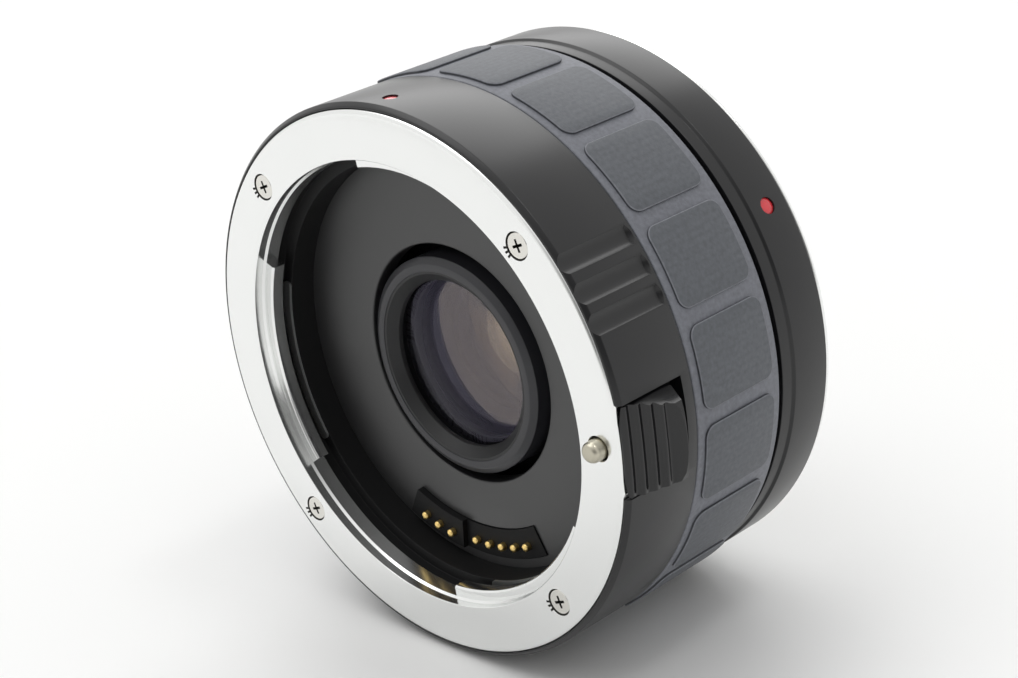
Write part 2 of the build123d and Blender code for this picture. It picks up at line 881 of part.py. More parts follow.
# Rear contact block: stepped black moulding that reaches the pins of the camera
with BuildPart() as rear_contact_block:
    base = ring_section(
        rear_floor_front - rear_block_base_thickness,
        rear_floor_front,
        rear_block_inner - block_base_inset,
        rear_block_outer,
        angle=block_start_angle - block_base_margin_angle,
    )
    revolve(base, axis=lens_axis, revolution_arc=base_span_angle)
    raised_side = ring_section(
        rear_floor_front,
        rear_raised_face,
        rear_block_inner,
        rear_block_outer,
        angle=block_start_angle,
    )
    revolve(raised_side, axis=lens_axis, revolution_arc=block_step_angle - block_start_angle)
    level_side = ring_section(
        rear_floor_front,
        rear_level_face,
        rear_block_inner,
        rear_block_outer,
        angle=block_step_angle,
    )
    revolve(level_side, axis=lens_axis, revolution_arc=block_end_angle - block_step_angle)
    for pad_number, pad_angle in enumerate(contact_angles, start=1):
        pad_face = rear_raised_face if pad_number <= raised_count else rear_level_face
        with BuildSketch(rear_plane(pad_face)):
            across, up = radial(pad_angle, contact_circle_radius - pad_contact_shift)
            with Locations(Location((-across, up), 180 - pad_angle)):
                Rectangle(pad_contact_length, pad_contact_width)
        extrude(amount=-pad_contact_thickness, mode=Mode.SUBTRACT)
save(rear_contact_block, "rear_contact_block")

# Eight gilt contact pads, set flush in the rear block
for pad_number, pad_angle in enumerate(contact_angles, start=1):
    pad_face = rear_raised_face if pad_number <= raised_count else rear_level_face
    with BuildPart() as rear_contact:
        with BuildSketch(rear_plane(pad_face)):
            across, up = radial(pad_angle, contact_circle_radius - pad_contact_shift)
            with Locations(Location((-across, up), 180 - pad_angle)):
                Rectangle(pad_contact_length, pad_contact_width)
        extrude(amount=-pad_contact_thickness)
    save(rear_contact, f"rear_contact_{pad_number}")

# Lens cell: black tube through the web, with a flange behind it and a stop between groups
with BuildPart() as lens_cell:
    revolve(
        half_section(
            (cell_front, cell_front_bore),
            (cell_front, cell_radius - cell_chamfer_width),
            (cell_front + cell_chamfer_length, cell_radius),
            (web_back, cell_radius),
            (web_back, cell_flange_radius),
            (cell_flange_back, cell_flange_radius),
            (cell_flange_back, cell_rear_radius),
            (cell_end, cell_rear_radius),
            (cell_end, cell_rear_bore),
            (glass_2_front, cell_rear_bore),
            (glass_2_front, cell_stop_radius),
            (glass_1_back, cell_stop_radius),
            (glass_1_back, cell_front_bore),
        ),
        axis=Axis.Y,
    )
    with Locations(rear_plane(cell_flange_back)):
        with PolarLocations(cell_screw_circle, cell_screw_count):
            Hole(shank_radius + seat_clearance, depth=cell_flange_thickness)
save(lens_cell, "lens_cell")

# Three screws that hold the cell's flange to the web
with BuildPart() as lens_cell_screws:
    with Locations(rear_plane(cell_flange_back)):
        with PolarLocations(cell_screw_circle, cell_screw_count):
            Cylinder(
                head_radius,
                head_height,
                align=(Align.CENTER, Align.CENTER, Align.MIN),
            )
            Cylinder(
                shank_radius,
                cell_screw_length,
                align=(Align.CENTER, Align.CENTER, Align.MAX),
            )
save(lens_cell_screws, "lens_cell_screws")

# Front retainer: black threaded ring with a coned mouth in front of the first glass
with BuildPart() as front_retainer:
    revolve(
        half_section(
            (retainer_front, cell_front_bore - glass_gap - retainer_land),
            (retainer_front, cell_front_bore - glass_gap),
            (glass_1_front, cell_front_bore - glass_gap),
            (glass_1_front, retainer_hole_radius),
            (retainer_front + retainer_cone_depth, retainer_hole_radius),
        ),
        axis=Axis.Y,
    )
save(front_retainer, "front_retainer")

# Four glass elements: a front meniscus, a hollow lens, a full lens and a rear meniscus
front_rim = cell_front_bore - glass_gap
rear_rim = cell_rear_bore - glass_gap
with BuildPart() as lens_element_1:
    glass = lens_section(
        glass_1_front,
        glass_1_back,
        front_rim,
        front_rim - glass_rim,
        front_bulge,
        -front_back_hollow,
    )
    revolve(glass, axis=Axis.Y)
save(lens_element_1, "lens_element_1")

with BuildPart() as lens_element_2:
    glass = lens_section(
        glass_2_front,
        glass_2_back,
        rear_rim,
        rear_rim - glass_rim,
        -second_front_hollow,
        -second_back_hollow,
    )
    revolve(glass, axis=Axis.Y)
save(lens_element_2, "lens_element_2")

with BuildPart() as lens_element_3:
    glass = lens_section(
        glass_3_front,
        glass_3_back,
        rear_rim,
        rear_rim - glass_rim,
        third_front_bulge,
        third_back_bulge,
    )
    revolve(glass, axis=Axis.Y)
save(lens_element_3, "lens_element_3")

with BuildPart() as lens_element_4:
    glass = lens_section(
        glass_4_front,
        glass_4_back,
        rear_rim,
        rear_rim - glass_rim,
        -fourth_front_hollow,
        fourth_back_bulge,
    )
    revolve(glass, axis=Axis.Y)
save(lens_element_4, "lens_element_4")

# Spacers between the rear elements and the ring that holds them in
with BuildPart() as lens_spacer_1:
    revolve(ring_section(glass_2_back, glass_3_front, rear_rim - spacer_wall, rear_rim), axis=Axis.Y)
save(lens_spacer_1, "lens_spacer_1")

with BuildPart() as lens_spacer_2:
    revolve(ring_section(glass_3_back, glass_4_front, rear_rim - spacer_wall, rear_rim), axis=Axis.Y)
save(lens_spacer_2, "lens_spacer_2")

with BuildPart() as rear_retainer:
    retainer_end = glass_4_back + rear_retainer_length
    revolve(ring_section(glass_4_back, retainer_end, rear_rim - glass_rim, rear_rim), axis=Axis.Y)
save(rear_retainer, "rear_retainer")

# Release lever: ribbed ridge that stands in the barrel's slot and slides to the rear
lip_radius = barrel_lip_radius + seat_clearance
ramp_start = (lip_radius + lever_lip_thickness, lens_face + lever_lip)
ramp_end = (barrel_radius + lever_ridge_height, lens_face + lever_ridge_depth)
lever_crest = (barrel_radius + lever_crest_height, lens_face + lever_crest_depth)
ramp_run = ramp_end[1] - ramp_start[1]
ramp_rise = ramp_end[0] - ramp_start[0]
ramp_length = math.hypot(ramp_run, ramp_rise)
with BuildPart() as release_lever:
    with BuildSketch(Plane.XY.offset(-lever_half_width)) as side_view:
        with BuildLine():
            Polyline(
                (lip_radius, lens_face + lever_lip),
                ramp_start,
                ramp_end,
                lever_crest,
                (barrel_radius, lever_back),
                (lever_base_radius, lever_back),
                (lever_base_radius, lever_foot),
                (lip_radius, lever_foot),
                close=True,
            )
        make_face()
    extrude(amount=2 * lever_half_width)
    with BuildSketch(Plane.XY.offset(-lever_half_width)) as grooves:
        for groove_step in range(lever_groove_count):
            along_share = lever_first_groove_share + lever_groove_pitch_share * groove_step
            stand_off = lever_groove_radius - lever_groove_bite
            groove_x = ramp_start[0] + ramp_rise * along_share - stand_off * -ramp_run / ramp_length
            groove_y = ramp_start[1] + ramp_run * along_share + stand_off * -ramp_rise / ramp_length
            with Locations((groove_x, groove_y)):
                Circle(lever_groove_radius)
    extrude(amount=2 * lever_half_width, mode=Mode.SUBTRACT)
    with BuildSketch(face_plane(0)) as end_view:
        with BuildLine():
            Polyline(
                (lever_base_radius, -lever_half_width),
                (barrel_radius, -lever_half_width),
                (barrel_radius + lever_crest_height, -lever_top_half_width),
                (barrel_radius + lever_crest_height, lever_top_half_width),
                (barrel_radius, lever_half_width),
                (lever_base_radius, lever_half_width),
                close=True,
            )
        make_face()
    extrude(amount=flange_to_flange, mode=Mode.INTERSECT)
    for side in (-1, 1):
        screw_place = lens_face + lever_screw_depth
        with BuildSketch(
            Plane(
                origin=(slider_base_radius, screw_place, side * lever_screw_offset),
                x_dir=(0, 1, 0),
                z_dir=(1, 0, 0),
            )
        ):
            Circle(lever_shank_radius)
        extrude(amount=lever_screw_length, mode=Mode.SUBTRACT)
save(release_lever, "release_lever")

# Lock slider: joins the lever to the lock pin inside the frame's pocket
lever_screw_sink = lever_head_radius - lever_shank_radius
with BuildPart() as lock_slider:
    with BuildSketch(face_plane(slider_back)):
        with Locations(((slider_base_radius + slider_top) / 2, 0)):
            Rectangle(slider_top - slider_base_radius, 2 * slider_half_width)
    extrude(amount=slider_length)
    with BuildSketch(face_plane(lever_back)):
        with Locations(((slider_top + lever_base_radius) / 2, 0)):
            Rectangle(lever_base_radius - slider_top, 2 * slider_half_width)
    extrude(amount=lever_back - slider_front)
    pin_socket_depth = lock_pin_length - lock_pin_proud - (slider_front - lens_face)
    with Locations(face_plane(slider_front)):
        with Locations((screw_circle_radius, 0)):
            Hole(lock_pin_radius, depth=pin_socket_depth)
    for side in (-1, 1):
        head_plane = Plane(
            origin=(slider_base_radius, screw_place, side * lever_screw_offset),
            x_dir=(0, 1, 0),
            z_dir=(-1, 0, 0),
        )
        with Locations(head_plane):
            CounterSinkHole(
                lever_shank_radius,
                lever_head_radius,
                depth=lever_base_radius - slider_base_radius,
                counter_sink_angle=countersink_angle,
            )
save(lock_slider, "lock_slider")

# Two small screws from the slider into the lever
with BuildPart() as lever_screws:
    for side in (-1, 1):
        head_plane = Plane(
            origin=(slider_base_radius, screw_place, side * lever_screw_offset),
            x_dir=(0, 1, 0),
            z_dir=(-1, 0, 0),
        )
        with Locations(head_plane):
            Cone(
                lever_shank_radius,
                lever_head_radius,
                lever_screw_sink,
                align=(Align.CENTER, Align.CENTER, Align.MAX),
            )
            Cylinder(
                lever_shank_radius,
                lever_screw_length,
                align=(Align.CENTER, Align.CENTER, Align.MAX),
            )
save(lever_screws, "lever_screws")

# Lock pin: bevelled steel pin that stands out of the lens seat
with BuildPart() as lock_pin:
    with BuildSketch(face_plane(lens_face - lock_pin_proud + lock_pin_length)):
        with Locations((screw_circle_radius, 0)):
            Circle(lock_pin_radius)
    extrude(amount=lock_pin_length)
    chamfer(lock_pin.edges().group_by(Axis.Y)[0], length=lock_pin_bevel)
save(lock_pin, "lock_pin")

# Return spring between the slider and the frame's boss
path, wire_section = coil(
    slider_back,
    spring_stop,
    0.0,
    screw_circle_radius + lock_coil_offset,
    lock_coil_radius,
    lock_coil_wire,
    lock_coil_turns,
    sides=6,
)
with BuildPart() as lock_spring:
    sweep(wire_section, path=path, is_frenet=True)
save(lock_spring, "lock_spring")

# Main board on the web, and the flexible cable from the pins to the pads
with BuildPart() as main_board:
    revolve(
        ring_section(
            web_back,
            web_back + main_board_thickness,
            main_board_inner,
            rear_boss_radius - board_edge_gap,
        ),
        axis=Axis.Y,
    )
    board_slot = ring_section(
        web_back - overrun,
        web_back + main_board_thickness + overrun,
        cable_radius - cable_slot_gap,
        cable_radius + cable_thickness + cable_slot_gap,
        angle=cable_start_angle - cable_margin_angle,
    )
    revolve(
        board_slot,
        axis=lens_axis,
        revolution_arc=cable_span_angle + 2 * cable_margin_angle,
        mode=Mode.SUBTRACT,
    )
save(main_board, "main_board")

with BuildPart() as flex_cable:
    cable = ring_section(
        board_back,
        rear_floor_front - rear_block_base_thickness,
        cable_radius,
        cable_radius + cable_thickness,
        angle=cable_start_angle,
    )
    revolve(cable, axis=lens_axis, revolution_arc=cable_span_angle)
save(flex_cable, "flex_cable")
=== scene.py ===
from math import cos, pi, radians, sin

import bmesh
import bpy
from mathutils import Matrix, Vector


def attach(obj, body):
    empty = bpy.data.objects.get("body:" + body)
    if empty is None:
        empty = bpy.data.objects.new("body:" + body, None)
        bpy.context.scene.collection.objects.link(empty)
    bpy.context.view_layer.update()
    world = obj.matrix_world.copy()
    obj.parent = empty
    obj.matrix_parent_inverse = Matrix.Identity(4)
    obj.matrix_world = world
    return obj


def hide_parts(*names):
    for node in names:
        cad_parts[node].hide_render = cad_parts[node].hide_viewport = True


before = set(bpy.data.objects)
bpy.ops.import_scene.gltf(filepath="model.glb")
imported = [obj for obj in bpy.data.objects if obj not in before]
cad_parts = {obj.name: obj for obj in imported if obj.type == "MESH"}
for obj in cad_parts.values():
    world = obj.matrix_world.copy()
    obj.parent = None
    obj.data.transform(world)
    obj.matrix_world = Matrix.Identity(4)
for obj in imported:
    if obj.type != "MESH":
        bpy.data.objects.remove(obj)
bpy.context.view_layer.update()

MM = 0.001

# Camera: stands in front of the lens side, to the right of the axis and above it,
# at the distance that gives the ring and the barrel their perspective.
camera_lens = bpy.data.cameras.new("camera")
camera_lens.lens = 76.03
camera_lens.sensor_width = 36.0
camera = bpy.data.objects.new("camera", camera_lens)
bpy.context.scene.collection.objects.link(camera)
camera_right = Vector((0.7008, 0.7044, -0.1130))
camera_up = Vector((-0.1933, 0.3399, 0.9204))
camera_back = camera_right.cross(camera_up)
camera_place = (173.69 * MM, -175.66 * MM, 94.81 * MM)
camera.matrix_world = Matrix((
    *zip(camera_right, camera_up, camera_back, camera_place),
    (0, 0, 0, 1),
))
bpy.context.scene.camera = camera

# Studio: a white paper sheet under the part and a white room round it, brighter overhead.
# A broad window behind on the left and a soft lamp above give the black enamel its paler
# sheen, a small ceiling lamp gives the bright lines on glossy edges, and the side that the
# camera looks in from is darker in reflections.
bpy.context.scene.view_settings.view_transform = "Standard"


def colour(hex_code):
    """Linear colour of an sRGB hex value."""
    channels = [int(hex_code[place:place + 2], 16) / 255 for place in (1, 3, 5)]
    linear = [c / 12.92 if c <= 0.04045 else ((c + 0.055) / 1.055) ** 2.4 for c in channels]
    return (*linear, 1.0)


def add_node(tree, kind, links=None, **settings):
    """Adds a shader node. Links name its inputs and give a value or another node's output."""
    node = tree.nodes.new("ShaderNode" + kind)
    for name, value in settings.items():
        setattr(node, name, value)
    for name, value in (links or {}).items():
        if isinstance(value, bpy.types.NodeSocket):
            tree.links.new(value, node.inputs[name])
        else:
            node.inputs[name].default_value = value
    return node


def remap(value, low, high, start=0.0, end=1.0):
    """Output socket that runs from start to end while a value socket runs from low to high."""
    ends = {"From Min": low, "From Max": high, "To Min": start, "To Max": end}
    return add_node(value.id_data, "MapRange", {"Value": value, **ends}).outputs[0]


def new_material(name, base, roughness, metallic=0.0):
    """A material with its colour, roughness and metallic set on the shader's own sockets."""
    material = bpy.data.materials.new(name)
    material.use_nodes = True
    shader = material.node_tree.nodes["Principled BSDF"]
    shader.inputs["Base Color"].default_value = colour(base)
    shader.inputs["Roughness"].default_value = roughness
    shader.inputs["Metallic"].default_value = metallic
    return material, shader


world = bpy.data.worlds.new("white_room")
world.use_nodes = True
room = world.node_tree
room.nodes.clear()
rays = add_node(room, "LightPath").outputs
ray_direction = add_node(room, "TexCoord").outputs["Generated"]


def turn_towards(axis):
    """Output socket that rises to 1 as a ray turns to run along this axis."""
    product = add_node(room, "VectorMath", {0: ray_direction, 1: axis}, operation="DOT_PRODUCT")
    return product.outputs["Value"]


overhead = remap(turn_towards((0.28, 0.0, 0.96)), low=0.0, high=1.0, start=0.2, end=0.9)
open_side = remap(turn_towards((0.68, -0.73, 0.05)), low=0.65, high=0.98, start=1.0, end=0.2)
seen = rays["Is Camera Ray"]
for kind in ("Is Glossy Ray", "Is Transmission Ray"):
    seen = add_node(room, "Math", {0: seen, 1: rays[kind]}, operation="MAXIMUM").outputs[0]
lit_room = add_node(room, "Background", {"Color": colour("#FFFFFF"), "Strength": overhead})
seen_room = add_node(room, "Background", {"Color": colour("#F8F8F7"), "Strength": open_side})
room_mix = add_node(room, "MixShader", {0: seen, 1: lit_room.outputs[0], 2: seen_room.outputs[0]})
add_node(room, "OutputWorld", {"Surface": room_mix.outputs[0]})
bpy.context.scene.world = world

floor_level = -33.72
sheet_reach = 3.0
sheet_mesh = bpy.data.meshes.new("paper_sheet")
sheet_shape = bmesh.new()
bmesh.ops.create_grid(sheet_shape, x_segments=1, y_segments=1, size=sheet_reach)
bmesh.ops.translate(sheet_shape, verts=sheet_shape.verts, vec=(0, 0, floor_level * MM))
sheet_shape.to_mesh(sheet_mesh)
sheet_shape.free()
paper_sheet = bpy.data.objects.new("paper_sheet", sheet_mesh)
bpy.context.scene.collection.objects.link(paper_sheet)
sheet_paper, sheet_shader = new_material("white_paper_sheet", "#F6F6F5", 0.9)
sheet_shader.inputs["Specular IOR Level"].default_value = 0.1
sheet_mesh.materials.append(sheet_paper)


def add_lamp(name, place, size, watts):
    """A square soft lamp that faces the part."""
    light = bpy.data.lights.new(name, "AREA")
    light.size = size
    light.energy = watts
    lamp = bpy.data.objects.new(name, light)
    bpy.context.scene.collection.objects.link(lamp)
    lamp.location = place
    lamp.rotation_euler = (-lamp.location).to_track_quat("-Z", "Y").to_euler()


add_lamp("window_lamp", place=(-3.0, 3.6, 3.8), size=5.2, watts=138.0)
add_lamp("overhead_lamp", place=(-1.2, -0.9, 3.0), size=2.4, watts=29.0)
add_lamp("ceiling_lamp", place=(0.95, 0.38, 2.35), size=0.4, watts=4.0)


# Lens side ring: brass, turned and chromed with a satin face. Three tabs stand inward below
# the face, and four countersunk screws hold it. The turning leaves fine rings on the face.
def turned(outline, rounding=0.0, start=0.0, span=360.0, steps=288):
    """A shape spun about the optical axis. The outline's points are (place, radius) in mm."""
    shape = bmesh.new()
    around, upward = cos(radians(start)), sin(radians(start))
    corners = [shape.verts.new((r * around * MM, y * MM, r * upward * MM)) for y, r in outline]
    for pair in zip(corners, corners[1:] + corners[:1]):
        shape.edges.new(pair)
    if rounding:
        bmesh.ops.bevel(
            shape, geom=shape.verts[:] + shape.edges[:], offset=rounding * MM, offset_type="OFFSET",
            segments=3, profile=0.5, affect="VERTICES", clamp_overlap=True, material=-1,
        )
    geometry = shape.edges[:]
    if span < 360.0:
        face = bmesh.ops.contextual_create(shape, geom=geometry)["faces"]
        geometry = face + geometry
    else:
        geometry += shape.verts[:]
    bmesh.ops.spin(
        shape, geom=geometry, cent=(0, 0, 0), axis=(0, -1, 0), angle=radians(span),
        steps=max(3, round(steps * span / 360.0)), use_merge=span >= 360.0, use_duplicate=False,
    )
    return shape


def close_up(shape, tolerance=0.0005):
    """Merges double points, fills any open end and points the faces outward."""
    bmesh.ops.remove_doubles(shape, verts=shape.verts, dist=tolerance * MM)
    open_edges = [edge for edge in shape.edges if edge.is_boundary]
    if open_edges:
        bmesh.ops.holes_fill(shape, edges=open_edges, sides=0)
    bmesh.ops.recalc_face_normals(shape, faces=shape.faces)


def shade(piece, sharp=35.0):
    """Shades a piece smooth, except across edges sharper than this many degrees."""
    mesh = piece.data
    mesh.polygons.foreach_set("use_smooth", [True] * len(mesh.polygons))
    mesh.set_sharp_from_angle(angle=radians(sharp))


def show(name, shape, body, node, material, sharp=35.0):
    """Makes a piece from a bmesh. It rides on its body and stands for its CAD node."""
    close_up(shape)
    mesh = bpy.data.meshes.new(name)
    shape.to_mesh(mesh)
    shape.free()
    mesh.materials.append(material)
    piece = bpy.data.objects.new(name, mesh)
    bpy.context.scene.collection.objects.link(piece)
    shade(piece, sharp)
    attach(piece, body)
    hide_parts(node)
    return piece


def on_face(angle, radius, place):
    """Matrix that puts a shape made about its own Z on the lens side, with Z towards the lens."""
    a = radians(angle)
    return Matrix((
        (cos(a), -sin(a), 0, radius * cos(a) * MM),
        (0, 0, -1, place * MM),
        (sin(a), cos(a), 0, radius * sin(a) * MM),
        (0, 0, 0, 1),
    ))


def lathed(shape, matrix, outline, segments=48):
    """Adds a solid turned about its own Z. The outline's points are (radius, height) in mm."""
    corners = [shape.verts.new(matrix @ Vector((r * MM, 0, h * MM))) for r, h in outline]
    edges = [shape.edges.new(pair) for pair in zip(corners, corners[1:])]
    bmesh.ops.spin(
        shape, geom=corners + edges, cent=matrix.translation, axis=matrix.to_3x3() @ Vector((0, 0, 1)),
        angle=2 * pi, steps=segments, use_merge=True, use_duplicate=False,
    )


def rod(shape, matrix, radius, low, high, segments=48):
    """Adds a cylinder about Z between two heights in mm."""
    lathed(shape, matrix, [(0, low), (radius, low), (radius, high), (0, high)], segments)


def prism(shape, matrix, outline, low, high, low_share=1.0):
    """Adds an outline drawn out along Z, in mm. Its low end is this share of its high end."""
    corners = [shape.verts.new((x * MM, y * MM, high * MM)) for x, y in outline]
    top = shape.faces.new(corners)
    raised = bmesh.ops.extrude_face_region(shape, geom=[top])
    lower = [part for part in raised["geom"] if isinstance(part, bmesh.types.BMVert)]
    bmesh.ops.scale(shape, vec=(low_share, low_share, 1), verts=lower)
    bmesh.ops.translate(shape, vec=(0, 0, (low - high) * MM), verts=lower)
    bmesh.ops.transform(shape, matrix=matrix, verts=corners + lower)


def oblong(left, right, half_width):
    """Outline of a rectangle from left to right, this far to each side of the X axis."""
    return [(left, -half_width), (right, -half_width), (right, half_width), (left, half_width)]


def join(shape, extra):
    """Puts a second closed shape into the first and frees it."""
    close_up(extra)
    mesh = bpy.data.meshes.new("extra")
    extra.to_mesh(mesh)
    extra.free()
    shape.from_mesh(mesh)
    bpy.data.meshes.remove(mesh)


def add_claws(piece, outline, arcs, rounding):
    """Adds a turned claw to a ring at each arc, which is its start and span in degrees."""
    claws = bmesh.new()
    for start, span in arcs:
        join(claws, turned(outline, rounding=rounding, start=start, span=span))
    claws.from_mesh(piece.data)
    claws.to_mesh(piece.data)
    claws.free()
    shade(piece)


def carve(piece, cutter_shape, operation="DIFFERENCE", cut_material=None):
    """Cuts a piece with a shape, which is used up. The cut faces can have their own material."""
    close_up(cutter_shape)
    cutter_mesh = bpy.data.meshes.new("cutter")
    cutter_shape.to_mesh(cutter_mesh)
    cutter_shape.free()
    cutter_mesh.materials.append(cut_material or piece.data.materials[0])
    cutter = bpy.data.objects.new("cutter", cutter_mesh)
    bpy.context.scene.collection.objects.link(cutter)
    modifier = piece.modifiers.new("carve", "BOOLEAN")
    modifier.object = cutter
    modifier.operation = operation
    modifier.solver = "EXACT"
    modifier.material_mode = "TRANSFER"
    bpy.context.view_layer.update()
    carved = bpy.data.meshes.new_from_object(piece.evaluated_get(bpy.context.evaluated_depsgraph_get()))
    piece.modifiers.clear()
    before = piece.data
    piece.data = carved
    carved.name = piece.name
    bpy.data.meshes.remove(before)
    bpy.data.objects.remove(cutter)
    bpy.data.meshes.remove(cutter_mesh)
    shade(piece)


def noise(tree, size, detail):
    """Output socket of a noise with spots of this size in mm, read from object coordinates."""
    place = add_node(tree, "TexCoord").outputs["Object"]
    links = {"Vector": place, "Scale": 1 / (size * MM), "Detail": detail}
    return add_node(tree, "TexNoise", links).outputs["Fac"]


def raise_by(shader, height, strength, depth):
    """Raises a material's surface by a height socket, by this depth in mm."""
    links = {"Height": height, "Strength": strength, "Distance": depth * MM}
    bump = add_node(shader.id_data, "Bump", links)
    shader.id_data.links.new(bump.outputs["Normal"], shader.inputs["Normal"])


def grain(shader, size, strength, depth, detail=4.0):
    """Gives a material a fine raised grain of this size and depth in mm."""
    raise_by(shader, noise(shader.id_data, size, detail), strength, depth)


def distance_from_axis(tree):
    """Output socket with a point's distance from the optical axis, in metres."""
    place = add_node(tree, "TexCoord").outputs["Object"]
    flat = add_node(tree, "Mapping", {"Vector": place, "Scale": (1, 0, 1)}).outputs["Vector"]
    return add_node(tree, "VectorMath", {0: flat}, operation="LENGTH").outputs["Value"]


satin_chrome, chrome_shader = new_material("satin_chrome_plate", "#EFF0EF", 0.2, metallic=1.0)
chrome_tree = satin_chrome.node_tree
turning_pitch = 0.12
turning = add_node(
    chrome_tree, "TexNoise",
    {"W": distance_from_axis(chrome_tree), "Scale": 1 / (turning_pitch * MM), "Detail": 3.0},
    noise_dimensions="1D",
)
raise_by(chrome_shader, turning.outputs["Fac"], strength=0.06, depth=0.01)
wear = remap(noise(chrome_tree, size=6.0, detail=5.0), low=0.3, high=0.7, start=0.16, end=0.26)
chrome_tree.links.new(wear, chrome_shader.inputs["Roughness"])
# Dark steel for the faces cut by recesses, countersinks and stake marks: a painted shade in these hollows.
shadowed_steel, shadowed_shader = new_material("steel_in_painted_shade", "#4A4946", 0.55, metallic=1.0)
grain(shadowed_shader, size=0.2, strength=0.3, depth=0.02)

lens_face = -34.4
flange_back = lens_face + 2.4
ring_back = lens_face + 3.2
ring_radius = 32.65
throat_radius = 26.95
screw_circle = 29.55
screw_angles = [45 + 90 * quarter for quarter in range(4)]
outside = 0.1
ring_shape = turned([
    (lens_face, throat_radius), (lens_face, 31.9), (lens_face + 0.03, 31.98), (lens_face + 0.02, 32.06),
    (lens_face + 0.07, 32.3), (lens_face + 0.2, 32.52), (lens_face + 0.42, ring_radius),
    (flange_back, ring_radius), (flange_back, 28.0), (ring_back, 28.0), (ring_back, 26.72),
    (lens_face + 1.4, 26.72), (lens_face + 1.12, throat_radius), (lens_face + 0.05, 26.9),
])
lens_ring = show("lens_ring", ring_shape, "converter", "lens_mount_ring", satin_chrome)
countersink = [
    (0, -2.9), (0.85, -2.9), (0.85, -1.0), (1.6, -0.25), (1.6, -0.05), (1.66, outside), (0, outside),
]
ring_cuts = bmesh.new()
for angle in screw_angles:
    lathed(ring_cuts, on_face(angle, screw_circle, lens_face), countersink)
# The countersink walls take the dark steel, a painted shade.
carve(lens_ring, ring_cuts, cut_material=shadowed_steel)
pin_hole = [(0, -3.0), (1.38, -3.0), (1.38, -0.15), (1.55, outside), (0, outside)]
pin_cut = bmesh.new()
lathed(pin_cut, on_face(0, screw_circle, lens_face), pin_hole)
carve(lens_ring, pin_cut)
stake_direction, stake_spread, stake_circle = 210, 16, 1.84
stake_length, stake_width, stake_depth = 0.52, 0.28, 0.12
stake_outline = oblong(-stake_length / 2, stake_length / 2, stake_width / 2)
stakes = bmesh.new()
for angle in screw_angles:
    spot = on_face(angle, screw_circle, lens_face) @ Matrix.Rotation(radians(stake_direction - angle), 4, "Z")
    for step in (-1, 0, 1):
        turn = Matrix.Rotation(radians(stake_spread * step), 4, "Z")
        mark = spot @ turn @ Matrix.Translation((stake_circle * MM, 0, 0))
        prism(stakes, mark, stake_outline, -stake_depth, outside, low_share=0.9)
# The stake marks take the dark steel, a painted shade.
carve(lens_ring, stakes, cut_material=shadowed_steel)
tab_front = lens_face + 1.5
tab_outline = [
    (tab_front, 27.3), (tab_front, 25.7), (lens_face + 1.7, 25.5), (ring_back, 25.5), (ring_back, 27.3),
]
add_claws(lens_ring, tab_outline, ((37.2, 63.9), (157.4, 57.8), (273.9, 59.5)), rounding=0.05)

# Ring screws: nickelled steel, countersunk a little below the face, with a cross recess.
nickel, nickel_shader = new_material("nickel_plated_steel", "#DEDCD6", 0.2, metallic=1.0)
grain(nickel_shader, size=0.15, strength=0.15, depth=0.01)


def add_screws(name, node, place_of, length, recess_turn):
    """Four countersunk screws with cross recesses. place_of gives each head's matrix."""
    shank_radius, head_radius = 0.8, 1.49
    profile = [
        (0, -length), (shank_radius, -length), (shank_radius, -1.05), (head_radius, -0.3),
        (head_radius, -0.16), (1.4, -0.09), (0, -0.06),
    ]
    arm, half, recess_depth = 0.8, 0.17, 1.0
    cross = [
        (arm, half), (half, half), (half, arm), (-half, arm), (-half, half), (-arm, half),
        (-arm, -half), (-half, -half), (-half, -arm), (half, -arm), (half, -half), (arm, -half),
    ]
    shape = bmesh.new()
    recess = bmesh.new()
    for angle in screw_angles:
        head = place_of(angle) @ Matrix.Rotation(radians(recess_turn - angle), 4, "Z")
        lathed(shape, head, profile)
        prism(recess, head, cross, -recess_depth, outside, low_share=0.6)
    screws = show(name, shape, "converter", node, nickel)
    # The cross recesses take the dark steel, a painted shade.
    carve(screws, recess, cut_material=shadowed_steel)


add_screws(
    "ring_screws", "lens_mount_screws", lambda angle: on_face(angle, screw_circle, lens_face),
    length=7.0, recess_turn=20,
)

# Lock pin: bare turned steel, a little yellowed by oil, with a rounded shoulder round its tip,
# which stands 1.6 mm out of the ring.
oiled_steel, oiled_shader = new_material("oiled_turned_steel", "#BDB8A8", 0.32, metallic=1.0)
grain(oiled_shader, size=0.25, strength=0.3, depth=0.02)
lock_pin_outline = [
    (0, -6.0), (1.2, -6.0), (1.2, 0.9), (1.17, 1.1), (1.08, 1.3), (0.95, 1.46), (0.8, 1.56),
    (0.6, 1.6), (0, 1.6),
]
lock_pin_shape = bmesh.new()
lathed(lock_pin_shape, on_face(0, screw_circle, lens_face), lock_pin_outline)
show("lens_lock_pin", lock_pin_shape, "release", "lock_pin", oiled_steel)

# Throat liner: glass filled nylon moulding behind the ring, with the slot for the claws of
# the lens. Moulding leaves it satin black.
black_moulding, moulding_shader = new_material("black_moulded_nylon", "#0C0C0D", 0.6)
moulding_shader.inputs["Specular IOR Level"].default_value = 0.25
grain(moulding_shader, size=0.25, strength=0.2, depth=0.02)
liner_shape = turned(
    [
        (ring_back, throat_radius), (ring_back, 28.05), (-24.4, 28.05), (-24.4, 24.4), (-25.8, 24.4),
        (-25.8, 25.5), (-29.8, 25.5), (-29.8, throat_radius),
    ],
    rounding=0.08,
)
show("claw_slot_liner", liner_shape, "converter", "throat_liner", black_moulding)

# Spring strips behind the tabs: bent spring steel, ground but not polished.
spring_steel, spring_shader = new_material("ground_spring_steel", "#B9BBBA", 0.45, metallic=1.0)
grain(spring_shader, size=0.4, strength=0.1, depth=0.01)


def give_finish(node, material):
    """Gives a node that keeps its CAD shape this material."""
    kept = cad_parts[node].data
    kept.materials.clear()
    kept.materials.append(material)


for number in (1, 2, 3):
    give_finish(f"mount_leaf_spring_{number}", spring_steel)

